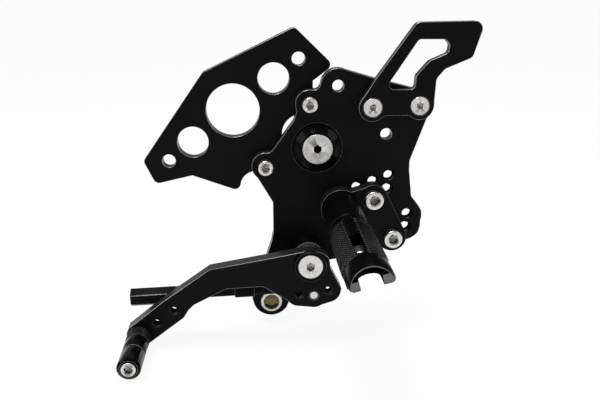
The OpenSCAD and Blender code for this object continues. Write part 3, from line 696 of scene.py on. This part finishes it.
def lane(r, t):
    """Cuts the flat lane along the top of the peg."""
    off = (t - PEG_TURN + math.pi) % (2 * math.pi) - math.pi
    return min(r, LANE_DEPTH / math.cos(off)) if abs(off) < LANE_REACH else r


def peg_shape(r, t, y):
    """The knurl ends along a slanting line, and the tip beyond it is smooth."""
    height = PEG_R * math.cos(t - PEG_TURN)
    ends = KNURL_END + max(0.0, KNURL_SLANT_FROM - max(height, KNURL_SLANT_TO))
    return lane(r if y > ends else min(r, SMOOTH_R), t)


def laned(profile):
    return [(lambda t, r=r: lane(r, t), y) for r, y in profile]


def peg_point(a, y, b):
    """A point in metres from the peg's own frame."""
    x = a * math.cos(-PEG_TURN) - b * math.sin(-PEG_TURN)
    z = a * math.sin(-PEG_TURN) + b * math.cos(-PEG_TURN)
    return ((PEG_AXIS[0] + x) * MM, y * MM, (PEG_AXIS[1] + z) * MM)


def prism(low, high):
    """A closed body between two outlines of equally many points (a, y, b) of the peg's frame."""
    bm = bmesh.new()
    first = [bm.verts.new(peg_point(*p)) for p in low]
    last = [bm.verts.new(peg_point(*p)) for p in high]
    count = len(first)
    for k in range(count):
        n = (k + 1) % count
        bm.faces.new((first[k], first[n], last[n], last[k]))
    bm.faces.new(first[::-1])
    bm.faces.new(last)
    return bm


def stadium(width, y_open, y_round, b_low, b_high, outwards):
    """A cutter from y_open to a round end at y_round, which lies further out or further in."""
    sign = 1 if outwards else -1
    r = width / 2
    centre = y_round + sign * r
    turns = [math.pi * k / 16 for k in range(17)]
    outline = [(-r, y_open)]
    outline += [(-r * math.cos(t), centre - sign * r * math.sin(t)) for t in turns]
    outline += [(r, y_open)]
    return prism([(a, y, b_low) for a, y in outline], [(a, y, b_high) for a, y in outline])


def hollow_cutter():
    """The hollow in the outer end: round above, with a flat floor that falls towards the web."""
    columns = 48
    profile = [(HOLLOW_MOUTH_R, PEG_OUT - 1), (HOLLOW_MOUTH_R, PEG_OUT + 0.02),
               (HOLLOW_R, PEG_OUT + HOLLOW_CHAMFER), (HOLLOW_R, FLAT_END), (HOLLOW_R, WEB)]
    bm = bmesh.new()
    rings = []
    for r, y in profile:
        floor_b = FLOOR_TOP - FALL * max(0.0, y - FLAT_END)
        half = math.sqrt(r * r - floor_b * floor_b)
        ring = []
        for k in range(columns):
            t = 2 * math.pi * k / columns
            a, b = r * math.sin(t), r * math.cos(t)
            if b < floor_b:
                a, b = max(-half, min(half, a)), floor_b
            ring.append(bm.verts.new(peg_point(a, y, b)))
        rings.append(ring)
    for low, high in zip(rings, rings[1:]):
        for k in range(columns):
            n = (k + 1) % columns
            bm.faces.new((low[k], low[n], high[n], high[k]))
    bm.faces.new(rings[0][::-1])
    bm.faces.new(rings[-1])
    return bm


def underside_cutter():
    """Takes the lower side of the tip away: a chamfer, a flat and a slope."""
    cut_end = PEG_OUT + CUT_LENGTH
    outline = [(PEG_OUT - 1, 2.2), (PEG_OUT, 1.2), (PEG_OUT + 3.0, FLOOR_LOW), (FLAT_END, FLOOR_LOW),
               (FLAT_END + SLOPE_LENGTH, FLOOR_LOW - FALL * SLOPE_LENGTH), (cut_end, -14.2),
               (cut_end, -OUTSIDE), (PEG_OUT - 1, -OUTSIDE)]
    return prism([(-OUTSIDE, y, b) for y, b in outline], [(OUTSIDE, y, b) for y, b in outline])


def corner_cutter(points):
    """Cuts a lower outer corner of the tip along the peg."""
    return prism([(a, PEG_OUT - 1, b) for a, b in points],
                 [(a, PEG_OUT + CORNER_LENGTH, b) for a, b in points])


def linked(name, bm):
    """An object in the scene with this mesh, its normals outwards."""
    mesh = bpy.data.meshes.new(name)
    recalculated(bm).to_mesh(mesh)
    bm.free()
    obj = bpy.data.objects.new(name, mesh)
    bpy.context.scene.collection.objects.link(obj)
    return obj


def boolean_cut(bm, cutters):
    """Subtracts closed meshes from bm, one after the other."""
    obj = linked("uncut", bm)
    tools = [linked("cutter", cutter) for cutter in cutters]
    for tool in tools:
        modifier = obj.modifiers.new("cut", "BOOLEAN")
        modifier.operation = "DIFFERENCE"
        modifier.solver = "EXACT"
        modifier.object = tool
    bpy.context.view_layer.update()
    result = bmesh.new()
    evaluated = obj.evaluated_get(bpy.context.evaluated_depsgraph_get())
    result.from_mesh(evaluated.to_mesh())
    evaluated.to_mesh_clear()
    for used in [obj] + tools:
        data = used.data
        bpy.data.objects.remove(used)
        bpy.data.meshes.remove(data)
    return result


def peg_paint(face):
    """The material of a face of the cut peg, from its place and its normal. The end face, the lower chamfer
    and the crests' outer slopes get lighter blacks, painted light; the bore gets the black without
    reflection, painted shade.
    """
    x, y, z = (c / MM for c in face.calc_center_median())
    radius = math.hypot(x - PEG_AXIS[0], z - PEG_AXIS[1])
    normal = face.normal
    if abs(y - PEG_OUT) < 0.3 and normal.y < END_NORMAL:
        return MILLED_LIT
    if y < PEG_OUT + 3.5 and normal.y < CHAMFER_NORMAL and normal.z < CHAMFER_NORMAL:
        return LIT_SIDE
    if radius < HOLLOW_R + 0.3 and y > PEG_OUT + 0.5:
        return SHADE_BLACK
    if y < CONE_FROM - 0.1:
        return TIP
    if normal.y < CREST_NORMAL and y > KNURL_END - 0.5 and radius > CREST_R:
        return CREST_HIGHLIGHT
    if abs(normal.y) < LANE_NORMAL and radius < SMOOTH_R + 0.01:
        return TIP if y < KNURL_END else LANE
    return KNURL


def build_foot_peg():
    bm = bmesh.new()
    neck = [(10.9, PEG_IN), (11.9, PEG_IN), (NECK_R, PEG_IN - 0.8), (NECK_R, PEG_IN - NECK_LENGTH)]
    tip = [(SMOOTH_R, SMOOTH_FROM - 0.2), (SMOOTH_R, CONE_FROM), (CONE_END_R, PEG_OUT + 0.3),
           (RIM_R, PEG_OUT)]
    knurl = knurl_profile(PEG_IN - NECK_LENGTH - 0.1, SMOOTH_FROM, PEG_R, STUD_DEPTH, STUD_PITCH, STUD_ROWS,
                          peg_shape)
    ring_stack(bm, PEG_AXIS, laned(neck) + knurl + laned(tip), COLUMNS_PER_STUD * STUD_ROWS)
    notch = stadium(NOTCH_WIDTH, PEG_OUT - 2, NOTCH_END, -OUTSIDE, FLOOR_TOP + 1.5, False)
    slot = stadium(SLOT_WIDTH, WEB, SLOT_END, 0, 16, True)
    bm = boolean_cut(bm, [hollow_cutter(), underside_cutter(), corner_cutter(LEFT_CORNER),
                          corner_cutter(RIGHT_CORNER), notch, slot])
    for face in bm.faces:
        face.material_index = PEG_MATERIALS.index(peg_paint(face))
    for vert in bm.verts:
        vert.co.x += max(0.0, PEG_IN * MM - vert.co.y) * LEAN
    piece("foot_peg_dressed", bm, PEG_MATERIALS, ["foot_peg"])


# Toe peg's collar
COLLAR_IN, COLLAR_OUT, COLLAR_R = -41.0, -52.0, 7.5
COLLAR_DEPTH, COLLAR_PITCH, COLLAR_ROWS = 0.45, 1.7, 34


def build_toe_collar():
    bm = bmesh.new()
    profile = [(6.4, COLLAR_IN), (7.0, COLLAR_IN - 0.3)]
    profile += knurl_profile(COLLAR_IN - 0.4, COLLAR_OUT + 0.4, COLLAR_R, COLLAR_DEPTH, COLLAR_PITCH,
                             COLLAR_ROWS)
    profile += [(7.0, COLLAR_OUT + 0.3), (6.4, COLLAR_OUT)]
    ring_stack(bm, TOE, profile, COLUMNS_PER_STUD * COLLAR_ROWS)
    # The crests' outer slopes take the lighter black, a painted highlight
    for face in recalculated(bm).faces:
        if face.normal.y < CREST_NORMAL and face.calc_center_median().y > (COLLAR_OUT + 0.4) * MM:
            face.material_index = 1
    piece("toe_peg_collar_dressed", bm, [KNURL, CREST_HIGHLIGHT], ["toe_peg_collar"])


build_plates()
build_bracket()
build_grid_threads()
build_lever()
build_lever_threads()
build_turned()
build_rod()
build_cap_screws()
build_lower_frame_screw()
build_flat_screws()
build_foot_peg()
build_toe_collar()

# Studio, in metres: a white floor that also glows for the camera and half as much for reflections
FLOOR_Z = cad_box[0][2] - 0.0005
FLOOR_REACH = 12.0
FLOOR_GLOW, GLOSSY_SHARE = 0.91, 0.5
WORLD_LEVEL = 0.35
TARGET = (0, -0.03, 0)


def floor_material():
    mat, nodes, links, shader = new_material("floor_white")
    shader.inputs["Base Color"].default_value = (0.8, 0.8, 0.8, 1)
    shader.inputs["Roughness"].default_value = 0.9
    shader.inputs["Specular IOR Level"].default_value = 0.0
    glow = nodes.new("ShaderNodeEmission")
    glow.inputs["Color"].default_value = (1, 1, 1, 1)
    glow.inputs["Strength"].default_value = 1.0
    path = nodes.new("ShaderNodeLightPath")
    seen = nodes.new("ShaderNodeMath")
    seen.operation = "MULTIPLY_ADD"
    seen.inputs[1].default_value = GLOSSY_SHARE
    share = nodes.new("ShaderNodeMath")
    share.operation = "MULTIPLY"
    share.inputs[1].default_value = FLOOR_GLOW
    share.use_clamp = True
    mix = nodes.new("ShaderNodeMixShader")
    links.new(path.outputs["Is Glossy Ray"], seen.inputs[0])
    links.new(path.outputs["Is Camera Ray"], seen.inputs[2])
    links.new(seen.outputs[0], share.inputs[0])
    links.new(share.outputs[0], mix.inputs["Fac"])
    links.new(shader.outputs["BSDF"], mix.inputs[1])
    links.new(glow.outputs["Emission"], mix.inputs[2])
    links.new(mix.outputs["Shader"], nodes["Material Output"].inputs["Surface"])
    return mat


def add_floor():
    bm = bmesh.new()
    corners = ((-1, -1), (1, -1), (1, 1), (-1, 1))
    bm.faces.new([bm.verts.new((x * FLOOR_REACH, y * FLOOR_REACH, FLOOR_Z)) for x, y in corners])
    mesh = bpy.data.meshes.new("floor")
    bm.to_mesh(mesh)
    bm.free()
    mesh.materials.append(floor_material())
    floor = bpy.data.objects.new("floor", mesh)
    bpy.context.scene.collection.objects.link(floor)


def add_world():
    """White for the camera, and dimmer as a light."""
    world = bpy.data.worlds.new("studio")
    bpy.context.scene.world = world
    world.use_nodes = True
    nodes, links = world.node_tree.nodes, world.node_tree.links
    back = nodes["Background"]
    back.inputs["Color"].default_value = (1, 1, 1, 1)
    path = nodes.new("ShaderNodeLightPath")
    level = nodes.new("ShaderNodeMapRange")
    level.inputs["To Min"].default_value = WORLD_LEVEL
    level.inputs["To Max"].default_value = 1.0
    links.new(path.outputs["Is Camera Ray"], level.inputs["Value"])
    links.new(level.outputs["Result"], back.inputs["Strength"])


def add_sun():
    data = bpy.data.lights.new("sun", "SUN")
    data.energy = 1.6
    data.angle = math.radians(25)
    sun = bpy.data.objects.new("sun", data)
    sun.rotation_euler = Vector((-0.25, -0.12, 1)).to_track_quat("Z", "Y").to_euler()
    bpy.context.scene.collection.objects.link(sun)


def add_box(name, place, width, height, power):
    """A rectangular lamp that points at the part."""
    light = bpy.data.lights.new(name, "AREA")
    light.shape = "RECTANGLE"
    light.size, light.size_y = width, height
    light.energy = power
    obj = bpy.data.objects.new(name, light)
    obj.location = place
    obj.rotation_euler = (Vector(TARGET) - Vector(place)).to_track_quat("-Z", "Y").to_euler()
    bpy.context.scene.collection.objects.link(obj)


add_floor()
add_world()
add_sun()
add_box("top_box", (-0.10, 0.10, 0.95), 0.8, 0.5, 6.0)
add_box("left_box", (-0.9, -0.35, 0.45), 0.4, 0.6, 2.2)
add_box("right_box", (0.85, -0.25, 0.5), 0.35, 0.6, 1.6)

# Camera
camera_data = bpy.data.cameras.new("camera")
camera_data.sensor_width = 36.0
camera_data.lens = 42.0
camera_data.clip_start = 0.01
camera = bpy.data.objects.new("camera", camera_data)
camera.location = (-0.039262, -0.45472, 0.101927)
camera.rotation_euler = (math.radians(90 - 17.074), 0, math.radians(-3.5945))
bpy.context.scene.collection.objects.link(camera)
bpy.context.scene.camera = camera
bpy.context.scene.view_settings.view_transform = "Standard"
